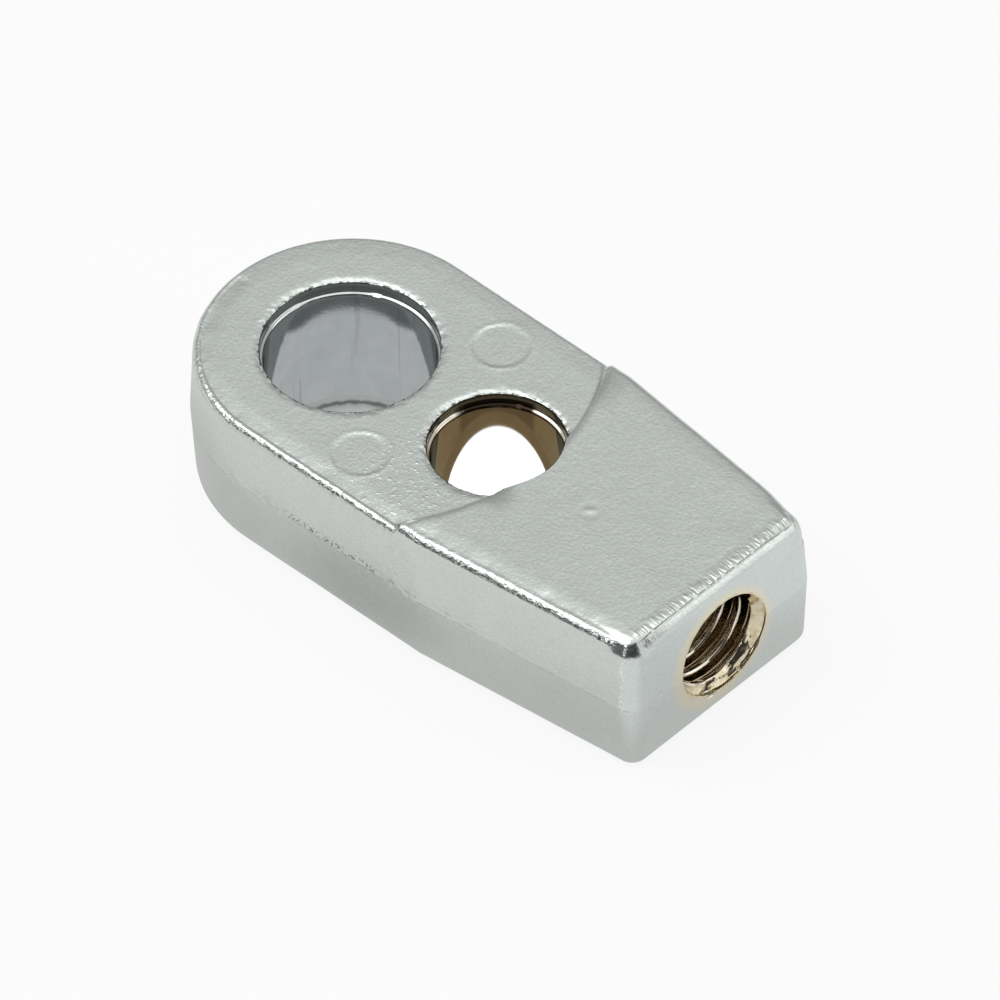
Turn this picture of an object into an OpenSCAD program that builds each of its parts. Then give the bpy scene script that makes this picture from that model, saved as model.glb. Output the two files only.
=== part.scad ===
// Control cable eye end: one die-cast link with a pin eye, a second bore and
// a threaded socket for the cable's end rod. Everything is in millimetres.
// The origin is where the pin bore's axis meets the threaded hole's axis, +X
// points at the threaded end and +Z points up. The modules measure heights
// from the underside, and eye_end lowers the whole part to its origin.

/* [Eye] */
// Outer radius of the round eye, taken at the parting line
eye_r = 8; // [7:0.1:10]
// Thickness of the eye, underside to its flat
eye_h = 7.95; // [6.5:0.05:10]
// Round on the top edge of the eye
eye_edge_r = 0.3; // [0.1:0.05:0.6]

/* [Block] */
// Distance from the eye's centre to the threaded end face
end_x = 25.25; // [22:0.25:34]
// Rise of the step from the eye's flat to the top of the block
step_h = 0.45; // [0.1:0.05:1.5]
// Width of the threaded end, taken at the parting line
end_w = 13.3; // [11:0.1:15]
// Distance from the eye's centre to where the sides begin to taper
taper_x = 11.8; // [8:0.1:16]
// Round on the two upright corners of the threaded end
corner_r = 1.15; // [0.5:0.05:2.5]
// Round on the top edge of the block
block_edge_r = 0.4; // [0.1:0.05:0.7]

/* [Casting] */
// Height of the parting line above the underside
parting_h = 4.15; // [3:0.05:5]
// Draft angle of the outer walls above and below the parting line
draft = 3; // [0.5:0.25:5]
// Round on the edge of the underside
base_edge_r = 0.4; // [0.1:0.05:0.8]
// Radius, about the eye's centre, of the step up to the block
step_r = 12.7; // [11.6:0.1:15]
// Length over which the face of the step leans back
step_lean = 0.12; // [0.02:0.02:0.4]

/* [Bores] */
// Diameter of the pin bore in the eye
pin_bore_d = 8.6; // [6:0.1:9]
// Diameter of the second bore
link_bore_d = 6.65; // [4:0.05:7]
// Distance between the two bores' centres
bore_spacing = 10; // [9:0.1:11]
// Width of the relief ring around each bore
rim_w = 0.18; // [0.05:0.01:0.4]
// Depth of the relief ring below the eye's flat
rim_h = 0.72; // [0.2:0.02:1.5]
// Chamfer on both bores at the underside
base_chamfer = 0.25; // [0.05:0.05:0.5]

/* [Threaded hole] */
// Diameter of the tapping hole, the crests of the thread
tap_d = 5; // [3:0.05:5.5]
// Metal left between the drill point and the second bore
web = 1.4; // [0.6:0.1:5]
// Full angle of the drill point at the bottom of the hole
drill_angle = 118; // [90:1:140]
// Diameter of the countersink at the end face
sink_d = 6; // [5.6:0.1:7.5]
// Depth of the countersink
sink_depth = 0.7; // [0.2:0.05:1.5]

/* [Ejector marks] */
// Diameter of each ejector pin mark on the eye's flat
mark_d = 2.85; // [1:0.05:3.5]
// Distance of the marks from the eye's centre, along the part
mark_x = 5.5; // [4.5:0.1:6.5]
// Distance of each mark from the part's centre line
mark_y = 5.05; // [4.6:0.05:5.5]
// Depth of each mark
mark_depth = 0.06; // [0.02:0.01:0.15]

/* [Hidden] */
// Facets of the full round cuts
$fn = 96;
// Steps around the eye, around each end corner and up each rounded edge
eye_steps = 48;
corner_steps = 6;
edge_steps = 4;
// Overshoot that keeps every cut clear of the face it starts from
clear = 1;
// Growth of the eye's own shape that keeps its walls off the block's
skin = 0.004;
// Quarter round at the foot of each ring, as wide as the ring
rim_round = rim_w;
// How far from the eye's axis the second bore's ring may reach: half way
// into the leaning face of the step
rim_reach = step_r - step_lean / 2;
block_h = eye_h + step_h;
thread_axis_h = block_h / 2;
drill_tip = tap_d / 2 / tan(drill_angle / 2);
tap_length = end_x - bore_spacing - link_bore_d / 2 - web - drill_tip;

// Lean of a drafted wall at a distance from the parting line
function lean(distance) = distance * tan(draft);

// Plan outline at the parting line, moved inwards by inset: the eye's half
// circle, its straight sides, the tapered sides and two rounded corners
function outline(inset) =
    let (
        eye = eye_r - inset,
        half_end = end_w / 2 - inset,
        face_x = end_x - inset,
        round_r = max(corner_r - inset, corner_r / 4)
    )
    concat(
        [for (i = [0 : eye_steps])
            let (a = 90 + 180 * i / eye_steps)
            [eye * cos(a), eye * sin(a)]],
        [[taper_x, -eye]],
        [for (i = [0 : corner_steps])
            let (a = -90 + 90 * i / corner_steps)
            [face_x - round_r + round_r * cos(a), -half_end + round_r + round_r * sin(a)]],
        [for (i = [0 : corner_steps])
            let (a = 90 * i / corner_steps)
            [face_x - round_r + round_r * cos(a), half_end - round_r + round_r * sin(a)]],
        [[taper_x, eye]]
    );

// Inset and height of each ring of a drafted body, from the underside up:
// the lower round, the parting line and the upper round
function rings(top_h, top_r) = concat(
    [for (i = [0 : edge_steps])
        let (a = 90 * i / edge_steps)
        [lean(parting_h - base_edge_r) + base_edge_r * (1 - sin(a)), base_edge_r * (1 - cos(a))]],
    [[0, parting_h]],
    [for (i = [0 : edge_steps])
        let (a = 90 * i / edge_steps)
        [lean(top_h - top_r - parting_h) + top_r * (1 - cos(a)), top_h - top_r * (1 - sin(a))]]
);

// Closed body lofted through the rings, grown outwards by grow
module drafted_body(top_h, top_r, grow = 0) {
    levels = rings(top_h, top_r);
    count = len(outline(0));
    last = len(levels) - 1;
    points = [for (level = levels) for (p = outline(level[0] - grow)) [p[0], p[1], level[1]]];
    sides = [for (k = [0 : last - 1]) for (i = [0 : count - 1])
        let (j = (i + 1) % count)
        [k * count + i, (k + 1) * count + i, (k + 1) * count + j, k * count + j]];
    floor_face = [[for (i = [0 : count - 1]) i]];
    top_face = [[for (i = [0 : count - 1]) last * count + count - 1 - i]];
    polyhedron(points, concat(floor_face, sides, top_face), convexity = 4);
}

// Material above the eye's flat, out to the step, with the round that the
// cut leaves along the eye's top edge
module eye_relief() {
    difference() {
        translate([0, 0, eye_h - eye_edge_r])
            step_cone(eye_edge_r + step_h + clear);
        drafted_body(eye_h, eye_edge_r, skin);
    }
}

// Cone about the eye's axis whose wall is the leaning face of the step
module step_cone(height) {
    slope = step_lean / step_h;
    low_r = step_r - step_lean - slope * eye_edge_r;
    cylinder(r1 = low_r, r2 = low_r + slope * height, h = height);
}

// Through bore with a relief ring in the eye's flat and a chamfer below
module bore_cut(d) {
    translate([0, 0, -clear])
        cylinder(d = d, h = block_h + 2 * clear);
    translate([0, 0, -clear])
        cylinder(d1 = d + 2 * (base_chamfer + clear), d2 = d, h = base_chamfer + clear);
}

// Relief ring around a bore: an upright wall above a quarter round
module rim_cut(d) {
    ring_r = d / 2 + rim_w;
    translate([0, 0, eye_h - rim_h])
        rotate_extrude()
            difference() {
                translate([0, -rim_round])
                    square([ring_r, rim_h + rim_round + clear]);
                translate([ring_r, -rim_round])
                    circle(r = rim_round);
            }
}

// Blind tapping hole with its drill point and countersink, along +X
module socket_cut() {
    translate([end_x, 0, thread_axis_h])
        rotate([0, -90, 0]) {
            translate([0, 0, -clear])
                cylinder(d = tap_d, h = tap_length + clear);
            translate([0, 0, tap_length])
                cylinder(d1 = tap_d, d2 = 0, h = drill_tip);
            sink_slope = (sink_d - tap_d) / sink_depth;
            translate([0, 0, -clear])
                cylinder(d1 = sink_d + sink_slope * clear, d2 = tap_d, h = sink_depth + clear);
        }
}

// Shallow round marks left on the eye's flat by the ejector pins
module ejector_marks() {
    for (side = [-1, 1])
        translate([mark_x, side * mark_y, eye_h - mark_depth])
            cylinder(d = mark_d, h = mark_depth + clear);
}

module eye_end() {
    color([0.74, 0.76, 0.75])
        translate([0, 0, -thread_axis_h])
            difference() {
                drafted_body(block_h, block_edge_r);
                eye_relief();
                bore_cut(pin_bore_d);
                rim_cut(pin_bore_d);
                translate([bore_spacing, 0, 0])
                    bore_cut(link_bore_d);
                intersection() {
                    translate([bore_spacing, 0, 0])
                        rim_cut(link_bore_d);
                    cylinder(r = rim_reach, h = block_h + clear);
                }
                socket_cut();
                ejector_marks();
            }
}

eye_end();
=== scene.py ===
"""Looks of the control cable eye end: one chromed die-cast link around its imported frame.

Sizes are in millimetres until the mesh is filled, which is in metres.
"""

import itertools
import math

import bmesh
import bpy
import numpy as np
from mathutils import Matrix, Vector


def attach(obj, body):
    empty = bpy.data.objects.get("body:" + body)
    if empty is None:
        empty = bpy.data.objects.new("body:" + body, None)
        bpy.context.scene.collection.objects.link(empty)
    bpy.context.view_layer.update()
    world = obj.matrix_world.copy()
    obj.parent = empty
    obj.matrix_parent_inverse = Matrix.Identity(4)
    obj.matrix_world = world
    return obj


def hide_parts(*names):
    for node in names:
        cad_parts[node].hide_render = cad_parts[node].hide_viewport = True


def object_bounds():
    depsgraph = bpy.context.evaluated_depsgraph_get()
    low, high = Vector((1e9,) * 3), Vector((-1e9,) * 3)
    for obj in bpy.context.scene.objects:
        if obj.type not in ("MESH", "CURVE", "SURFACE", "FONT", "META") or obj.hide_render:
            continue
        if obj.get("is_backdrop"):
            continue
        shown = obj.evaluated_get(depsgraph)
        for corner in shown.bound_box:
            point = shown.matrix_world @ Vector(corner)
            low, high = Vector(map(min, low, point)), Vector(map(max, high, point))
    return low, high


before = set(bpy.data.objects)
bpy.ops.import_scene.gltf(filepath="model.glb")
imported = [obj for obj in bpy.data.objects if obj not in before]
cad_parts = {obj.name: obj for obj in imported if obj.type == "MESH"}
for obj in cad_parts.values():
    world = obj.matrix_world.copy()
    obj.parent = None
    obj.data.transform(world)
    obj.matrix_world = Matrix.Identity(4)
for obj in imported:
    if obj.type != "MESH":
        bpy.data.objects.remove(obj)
cad_low, cad_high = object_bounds()


# The casting's outer skin: zinc alloy from a two-part die, with drafted walls
# that lean in above and below the parting line. The eye's flat is lower than
# the block, so columns of the skin on either side of the step end at two heights.
MM = 0.001
GRID = 0.155
EYE_R = 8.0
EYE_TOP = 3.75
EYE_EDGE = 0.56
BLOCK_TOP = 4.2
BLOCK_EDGE = 0.72
UNDERSIDE = -4.2
BASE_EDGE = 0.6
PARTING = -0.05
DRAFT = math.tan(math.radians(3))
END_X = 25.25
END_HALF = 6.65
CORNER = 1.15
TAPER_X = 11.8
WAIST = 5.5
NECK = 14.6
STEP_R = 12.7
STEP_LEAN = 0.12


def lean(z):
    """Inset of a drafted wall: its distance from the parting line times the draft's tangent."""
    return DRAFT * np.abs(np.asarray(z) - PARTING)


def smooth(low, high, value):
    """Rises from 0 at low to 1 at high along 3t^2 - 2t^3."""
    t = np.clip((value - low) / (high - low), 0, 1)
    return t * t * (3 - 2 * t)


def share(length):
    """How many grid steps a length takes."""
    return max(2, int(round(length / GRID)))


def quarter_turn(count):
    """Angles over a quarter turn, both ends included."""
    return np.radians(np.linspace(0, 90, count))


def step_x(y, z):
    """Where the leaning face of the step crosses a line at y: a cone about the
    eye's axis, wider towards the top."""
    radius = STEP_R - STEP_LEAN * (BLOCK_TOP - z) / (BLOCK_TOP - EYE_TOP)
    return math.sqrt(radius**2 - y**2)


turn = quarter_turn(6)
base_in = lean(UNDERSIDE + BASE_EDGE) + BASE_EDGE * (1 - np.sin(turn))
base_z = UNDERSIDE + BASE_EDGE * (1 - np.cos(turn))
shoulder = EYE_TOP - EYE_EDGE
wall_z = np.r_[
    np.linspace(UNDERSIDE + BASE_EDGE, PARTING - 0.2, 15)[1:],
    PARTING + np.array([-0.1, -0.04, 0, 0.04, 0.1]),
    np.linspace(PARTING + 0.2, shoulder, 14),
]
turn = quarter_turn(10)[1:]
eye_in = lean(shoulder) + EYE_EDGE * (1 - np.cos(turn))
eye_z = shoulder + EYE_EDGE * np.sin(turn)
rise_z = np.linspace(shoulder, BLOCK_TOP - BLOCK_EDGE, 3)[1:]
turn = quarter_turn(8)[1:]
block_in = np.r_[lean(rise_z), lean(BLOCK_TOP - BLOCK_EDGE) + BLOCK_EDGE * (1 - np.cos(turn))]
block_z = np.r_[rise_z, BLOCK_TOP - BLOCK_EDGE * (1 - np.sin(turn))]
low_in = np.r_[base_in, lean(wall_z)]
low_z = np.r_[base_z, wall_z]
eye_in, eye_z = np.r_[low_in, eye_in], np.r_[low_z, eye_z]
block_in, block_z = np.r_[low_in, block_in], np.r_[low_z, block_z]

eye_edge_y = EYE_R - eye_in[-1]
block_edge_y = EYE_R - block_in[-1]
EYE_END = step_x(eye_edge_y, EYE_TOP)
BLOCK_END = step_x(block_edge_y, BLOCK_TOP)


def eye_plan():
    """The eye's outline at the parting line, anticlockwise from one end of the
    step to the other: two straight sides and a half circle. Gives each point,
    its outward direction, and the two points at the waist."""
    side = np.r_[
        np.linspace(EYE_END, WAIST, share(EYE_END - WAIST) + 1)[:-1],
        np.linspace(WAIST, 0, share(WAIST) + 1)[:-1],
    ]
    angle = np.linspace(math.pi / 2, 3 * math.pi / 2, share(math.pi * EYE_R) + 1)[1:-1]
    far = np.c_[side, np.full(len(side), EYE_R)]
    foot = [[0, EYE_R]]
    round_part = EYE_R * np.c_[np.cos(angle), np.sin(angle)]
    points = np.r_[far, foot, round_part, np.multiply(foot, [1, -1]), far[::-1] * [1, -1]]
    straight = np.tile([0.0, 1.0], (len(side) + 1, 1))
    out = np.r_[straight, round_part / EYE_R, -straight]
    first = share(EYE_END - WAIST)
    return points, out, first, len(points) - 1 - first


def block_plan():
    """The block's outline, anticlockwise from the near end of the step: a side
    that tapers past TAPER_X, a round corner, the end face, and the same back.
    Gives points, outward directions, and which points are at the neck, in the
    middle of the corner and at the corner's end."""
    corner_x, corner_y = END_X - CORNER, END_HALF - CORNER
    side = np.r_[
        np.linspace(BLOCK_END, NECK, share(NECK - BLOCK_END) + 1)[:-1],
        np.linspace(NECK, corner_x, share(corner_x - NECK) + 1)[:-1],
    ]
    taper = (EYE_R - END_HALF) / (corner_x - TAPER_X)
    near = np.c_[side, -EYE_R + taper * np.maximum(side - TAPER_X, 0)]
    half = share(CORNER * math.pi / 4)
    angle = np.linspace(-math.pi / 2, 0, 2 * half + 1)
    ring = np.c_[np.cos(angle), np.sin(angle)]
    corner = [corner_x, -corner_y] + CORNER * ring
    across = np.linspace(-corner_y, corner_y, share(2 * corner_y) + 1)[1:-1]
    face = np.c_[np.full(len(across), END_X), across]
    points = np.r_[near, corner, face, corner[::-1] * [1, -1], near[::-1] * [1, -1]]
    down = np.tile([0.0, -1.0], (len(near), 1))
    out = np.r_[down, ring, np.tile([1.0, 0.0], (len(face), 1)), ring[::-1] * [1, -1], -down]
    neck = share(NECK - BLOCK_END)
    bend = len(near) + half
    return points, out, neck, bend, len(near) + 2 * half


def skin(points, out, inset, z):
    """Carries the profile (inset, z) along the plan: each point moves inwards
    by the inset, against its outward direction."""
    plan = points[:, None, :] - inset[None, :, None] * out[:, None, :]
    height = np.broadcast_to(z[None, :, None], plan.shape[:2] + (1,))
    return np.concatenate([plan, height], axis=2)


eye_points, eye_out, waist_far, waist_near = eye_plan()
block_points, block_out, neck_at, bend_at, end_from = block_plan()
eye_skin = skin(eye_points, eye_out, eye_in, eye_z)
block_skin = skin(block_points, block_out, block_in, block_z)
RAMP = np.array([0.14, 0.5, 0.86])


def across_step(low, high):
    """Columns on the step's own face between its foot and its top: a ruled
    surface whose height eases in and out."""
    share_z = smooth(-0.08, 1.08, RAMP)
    mid = low[None] + RAMP[:, None, None] * (high - low)[None]
    mid[:, :, 2] = low[:, 2] + share_z[:, None] * (high - low)[:, 2]
    return mid


near_step = across_step(eye_skin[-1], block_skin[0])
far_step = across_step(eye_skin[0], block_skin[-1])[::-1]
outer_skin = np.concatenate([eye_skin, near_step, block_skin, far_step])

sheets = []


def sheet(grid, closed=False):
    """Adds a grid of points to the casting as triangles, two to a cell, closed
    round its first direction if asked."""
    grid = np.asarray(grid, float)
    if closed:
        grid = np.concatenate([grid, grid[:1]])
    start = sum(len(points) for points, _ in sheets)
    index = start + np.arange(grid.shape[0] * grid.shape[1]).reshape(grid.shape[:2])
    a, b, c, d = index[:-1, :-1], index[1:, :-1], index[1:, 1:], index[:-1, 1:]
    faces = np.stack([a, b, c, a, c, d], axis=-1)
    sheets.append((grid.reshape(-1, 3), faces.reshape(-1, 3)))


# The end face carries the threaded hole, so the skin is left open there
# between two columns and two rows, and a ring of faces fills in later.
HOLE_MARGIN = 3
block_from = len(eye_skin) + len(near_step)
hole_first = block_from + end_from + HOLE_MARGIN
hole_last = block_from + len(block_skin) - 1 - end_from - HOLE_MARGIN
hole_low = len(base_in) - 1
hole_high = len(low_z) + 1
sheet(outer_skin[: hole_first + 1])
sheet(np.concatenate([outer_skin[hole_last:], outer_skin[:1]]))
sheet(outer_skin[hole_first : hole_last + 1, : hole_low + 1])
sheet(outer_skin[hole_first : hole_last + 1, hole_high:])


# The stepped top: the eye's flat, and the block's flat above it past the curved
# step. Each bore is the middle of a web of straight rows that reach from its rim
# to the waist, the neck or the edge, and a plain panel covers the rest of the block.
PIN_R = 4.3
LINK_R = 3.325
LINK_X = 10.0
RIM_W = 0.18
RIM_H = 0.72
LIP = 0.05
CLOSE_ROWS = np.array([0, 0.05, 0.11, 0.18, 0.27, 0.38])
PIN_ROWS = 19
LINK_ROWS = 27


def web(inner, outer, rows):
    """Rows from an inner to an outer curve: first at the fixed distances
    CLOSE_ROWS, then in even shares of what is left."""
    way = outer - inner
    length = np.linalg.norm(way, axis=-1, keepdims=True)
    even = np.linspace(0, 1, rows + 1)[1:]
    reach = CLOSE_ROWS[-1] + even[None, :] * (length - CLOSE_ROWS[-1])
    close = np.broadcast_to(CLOSE_ROWS, (len(inner), len(CLOSE_ROWS)))
    along = np.concatenate([close, reach], axis=1)
    return inner[:, None, :] + (along / length)[:, :, None] * way[:, None, :]


def bend_sides(grid, first, last):
    """Bends a web so that its first and last rays lie on two given curves. The
    bend fades out with the fifth power of the distance from them."""
    u = np.linspace(0, 1, len(grid))[:, None, None]
    return grid + (1 - u) ** 5 * (first - grid[0])[None] + u**5 * (last - grid[-1])[None]


def circle(radius, angle, centre=0.0):
    """Points on a circle whose centre is on the long axis."""
    return np.c_[centre + radius * np.cos(angle), radius * np.sin(angle)]


def at_height(plan, z):
    """Lifts plan points to a height."""
    return np.concatenate([plan, np.full(plan.shape[:-1] + (1,), float(z))], axis=-1)


def meets(radius, bore_r):
    """Angles, about the eye and about the second bore, where a circle round
    the eye crosses the bore's rim."""
    x = (radius**2 + LINK_X**2 - bore_r**2) / (2 * LINK_X)
    y = math.sqrt(radius**2 - x**2)
    return math.atan2(y, x), math.atan2(y, x - LINK_X)


def step_line(radius, bore_r, edge_point, steps):
    """The foot or the top of the step from the bore's rim to the side, at the
    given shares of its way."""
    start = meets(radius, bore_r)[0]
    angle = start + (math.atan2(abs(edge_point[1]), edge_point[0]) - start) * steps
    return circle(radius, angle)


def ray_shares(ray):
    """How far along a straight ray each of its points lies, from 0 to 1."""
    length = np.linalg.norm(ray - ray[0], axis=1)
    return length / length[-1]


def cross(start, stop, count):
    """A straight line of points across the casting, ends left out."""
    return np.linspace(start, stop, count + 1)[1:-1]


eye_edge = eye_skin[:, -1, :2]
block_edge = block_skin[:, -1, :2]
waist_line = cross(eye_edge[waist_near], eye_edge[waist_far], share(2 * EYE_R))
pin_outer = np.r_[eye_edge[waist_far : waist_near + 1], waist_line]
pin_angle = np.arctan2(pin_outer[:, 1], pin_outer[:, 0])
pin_rim_r = PIN_R + RIM_W
pin_web = web(circle(pin_rim_r + LIP, pin_angle), pin_outer, PIN_ROWS)
sheet(at_height(pin_web, EYE_TOP), closed=True)

foot_r, top_r = STEP_R - STEP_LEAN, STEP_R
link_rim_r = LINK_R + RIM_W
link_outer = np.r_[eye_edge[: waist_far + 1], waist_line[::-1], eye_edge[waist_near:]]
bearing = np.arctan2(link_outer[:, 1], -(link_outer[:, 0] - LINK_X))
foot_angle = meets(foot_r, link_rim_r + LIP)[1]
eye_side_angle = math.pi - bearing * (math.pi - foot_angle) / bearing[0]
link_inner = circle(link_rim_r + LIP, eye_side_angle, LINK_X)
link_web = web(link_inner, link_outer, LINK_ROWS)
foot_far = step_line(foot_r, link_rim_r + LIP, link_outer[0], ray_shares(link_web[0]))
link_web = bend_sides(link_web, foot_far, foot_far * [1, -1])
sheet(at_height(link_web, EYE_TOP))

bend_back = len(block_skin) - 1 - bend_at
neck_back = len(block_skin) - 1 - neck_at
neck_line = cross(block_edge[neck_at], block_edge[neck_back], bend_back - bend_at)
neck_outer = np.r_[block_edge[: neck_at + 1], neck_line, block_edge[neck_back:]]
bearing = np.arctan2(neck_outer[:, 1], neck_outer[:, 0] - LINK_X)
top_angle = meets(top_r, LINK_R + LIP)[1]
block_side_angle = bearing * top_angle / bearing[-1]
neck_web = web(circle(LINK_R + LIP, block_side_angle, LINK_X), neck_outer, LINK_ROWS)
top_far = step_line(top_r, LINK_R + LIP, neck_outer[-1], ray_shares(neck_web[-1]))
neck_web = bend_sides(neck_web, top_far * [1, -1], top_far)
sheet(at_height(neck_web, BLOCK_TOP))


def step_face(low_line, high_line):
    """The step's face between its foot and its top, as rows along it."""
    low = at_height(low_line, EYE_TOP)
    high = at_height(high_line, BLOCK_TOP)
    return np.concatenate([low[None], across_step(low, high), high[None]])


sheet(step_face(foot_far, top_far))
sheet(step_face(foot_far * [1, -1], top_far * [1, -1]))


def panel(west, east, south, north):
    """A four-sided panel between four curves: the sum of both ruled surfaces
    less the plain one through the corners."""
    u = np.linspace(0, 1, len(west))[:, None, None]
    v = np.linspace(0, 1, len(south))[None, :, None]
    across = (1 - v) * west[:, None] + v * east[:, None]
    along = (1 - u) * south[None] + u * north[None]
    south_plain = (1 - v) * south[0] + v * south[-1]
    north_plain = (1 - v) * north[0] + v * north[-1]
    return across + along - (1 - u) * south_plain - u * north_plain


def end_panel(edge):
    """The block's plan from the neck to the end face, from its edge points."""
    west = np.linspace(edge[neck_at], edge[neck_back], bend_back - bend_at + 1)
    east = edge[bend_at : bend_back + 1]
    return panel(west, east, edge[neck_at : bend_at + 1], edge[bend_back : neck_back + 1][::-1])


sheet(at_height(end_panel(block_edge), BLOCK_TOP))


# The two bores: cored in the die, each with a relief ring below the eye's flat
# and a rounded ledge at its foot. The second bore has no ring on the block's side.
LEDGE_Z = EYE_TOP - RIM_H - RIM_W
BASE_CHAMFER = 0.06
PIN_SPOKES = 176
LINK_SPOKES = 144
WALL_ROWS = 24
WALL_GAP = 0.12


def rim_profile(bore_r):
    """Radius and height down a rim: a small lip, the ring's wall, and a
    quarter round that ends on the bore."""
    lip = np.radians([90, 45, 0])
    ledge = quarter_turn(6)
    wall = np.linspace(EYE_TOP - LIP, EYE_TOP - RIM_H, 5)[1:-1]
    ring = bore_r + RIM_W
    radius = np.r_[ring + LIP * (1 - np.cos(lip)), np.full(3, ring), ring - RIM_W * np.sin(ledge)]
    height = np.r_[EYE_TOP - LIP * (1 - np.sin(lip)), wall, LEDGE_Z + RIM_W * np.cos(ledge)]
    return radius, height


def plain_profile(bore_r, count):
    """Radius and height down a sharp edge on the block's side, with as many
    rows as a rim has."""
    lip = np.radians([90, 45, 0])
    wall = np.linspace(BLOCK_TOP - LIP, LEDGE_Z, count - 2)[1:]
    radius = np.r_[bore_r + LIP * (1 - np.cos(lip)), np.full(count - 3, bore_r)]
    return radius, np.r_[BLOCK_TOP - LIP * (1 - np.sin(lip)), wall]


def turned(radius, height, angle, centre=0.0):
    """A profile turned about an upright axis: every angle against every row."""
    x = centre + np.cos(angle)[:, None] * radius[None]
    y = np.sin(angle)[:, None] * radius[None]
    return np.stack([x, y, np.broadcast_to(height[None], x.shape)], axis=-1)


def stitch(ring_a, ring_b, angle_a, angle_b):
    """Joins two closed rings of different counts with triangles. Going round,
    a ring steps on at the middle angle of each of its edges, and that edge's
    triangle ends at the point that the other ring has reached by then."""
    count_a, count_b = len(ring_a), len(ring_b)
    full = 2 * math.pi
    middle_a = np.mod(angle_a + np.mod(np.roll(angle_a, -1) - angle_a, full) / 2, full)
    middle_b = np.mod(angle_b + np.mod(np.roll(angle_b, -1) - angle_b, full) / 2, full)
    order_a, order_b = np.argsort(middle_a), np.argsort(middle_b)
    reached_b = order_b[np.searchsorted(middle_b[order_b], middle_a, side="left") - 1] + 1
    reached_a = order_a[np.searchsorted(middle_a[order_a], middle_b, side="right") - 1] + 1
    i, j = np.arange(count_a), np.arange(count_b)
    start = sum(len(points) for points, _ in sheets)
    on_a = np.stack([i, (i + 1) % count_a, count_a + reached_b % count_b], axis=1)
    on_b = np.stack([count_a + j, count_a + (j + 1) % count_b, reached_a % count_a], axis=1)
    sheets.append((np.r_[ring_a, ring_b], start + np.r_[on_a, on_b]))


def even_angles(count):
    """Angles evenly round a circle."""
    return np.arange(count) * 2 * math.pi / count


def bore_wall(rim_low, rim_angles, bore_r, centre, count):
    """The bore below its rim: a stitched ring, the straight wall, and the
    chamfer at the underside, whose outer ring it returns with its angles."""
    angle = even_angles(count)
    chamfer_z = UNDERSIDE + BASE_CHAMFER
    straight = np.linspace(LEDGE_Z - WALL_GAP, chamfer_z, WALL_ROWS)
    height = np.r_[straight, UNDERSIDE + BASE_CHAMFER / 2, UNDERSIDE]
    radius = bore_r + np.clip(chamfer_z - height, 0, None)
    wall = turned(radius, height, angle, centre)
    stitch(rim_low, wall[:, 0], rim_angles, angle)
    sheet(wall, closed=True)
    return wall[:, -1], angle


rim_r, rim_z = rim_profile(PIN_R)
pin_rim = turned(rim_r, rim_z, pin_angle)
sheet(pin_rim, closed=True)
pin_foot, pin_foot_angle = bore_wall(pin_rim[:, -1], pin_angle, PIN_R, 0.0, PIN_SPOKES)

rim_r, rim_z = rim_profile(LINK_R)
eye_rim = turned(rim_r, rim_z, eye_side_angle, LINK_X)
plain_r, plain_z = plain_profile(LINK_R, len(rim_r))
block_rim = turned(plain_r, plain_z, block_side_angle, LINK_X)
rim_near = across_step(eye_rim[-1], block_rim[0])
rim_far = across_step(eye_rim[0], block_rim[-1])[::-1]
link_rim = np.concatenate([eye_rim, rim_near, block_rim, rim_far])
sheet(link_rim, closed=True)
low = link_rim[:, -1]
link_low_angle = np.arctan2(low[:, 1], low[:, 0] - LINK_X)
link_foot, link_foot_angle = bore_wall(low, link_low_angle, LINK_R, LINK_X, LINK_SPOKES)


# The underside: one flat face, chamfered at both bores.
base_eye, base_block = eye_skin[:, 0, :2], block_skin[:, 0, :2]
base_waist = cross(base_eye[waist_near], base_eye[waist_far], share(2 * EYE_R))
FOOT_ROWS = 8
FOOT_GAP = 0.25


def underside(outer, foot, foot_angle, centre):
    """Rows from the outline in to a bore's chamfer, and a stitched ring that ends on it."""
    angle = np.arctan2(outer[:, 1], outer[:, 0] - centre)
    inner_r = FOOT_GAP + np.linalg.norm(foot[0, :2] - [centre, 0])
    inner = circle(inner_r, angle, centre)
    part = np.linspace(0, 1, FOOT_ROWS)[None, :, None]
    rows = at_height(inner[:, None] * (1 - part) + outer[:, None] * part, UNDERSIDE)
    sheet(rows, closed=True)
    stitch(rows[:, 0], foot, angle, foot_angle)


underside(np.r_[base_eye[waist_far : waist_near + 1], base_waist], pin_foot, pin_foot_angle, 0.0)
base_neck = cross(base_block[neck_at], base_block[neck_back], bend_back - bend_at)
around = np.r_[
    base_eye[: waist_far + 1],
    base_waist[::-1],
    base_eye[waist_near:],
    near_step[:, 0, :2],
    base_block[: neck_at + 1],
    base_neck,
    base_block[neck_back:],
    far_step[:, 0, :2],
]
underside(around, link_foot, link_foot_angle, LINK_X)
sheet(at_height(end_panel(base_block), UNDERSIDE))


# The threaded socket: tapped M6 by 1 for the cable's rod, countersunk, with a
# drill point at its blind end. The thread's crests are worn round.
THREAD_PITCH = 1.0
CREST_R = 2.5
ROOT_R = 2.98
SINK_R = 3.0
SINK_DEPTH = 0.7
SOCKET_END = 9.02
THREAD_PHASE = 0.30
FLANK_FROM, FLANK_WIDTH = 0.39, 0.31
THREAD_FADE = (0.9, 0.4)
DRILL_HALF_ANGLE = math.radians(59)
SOCKET_SPOKES = 104


def face_x(z):
    """The end face leans in with the draft away from the parting line."""
    return END_X - lean(z)


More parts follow.
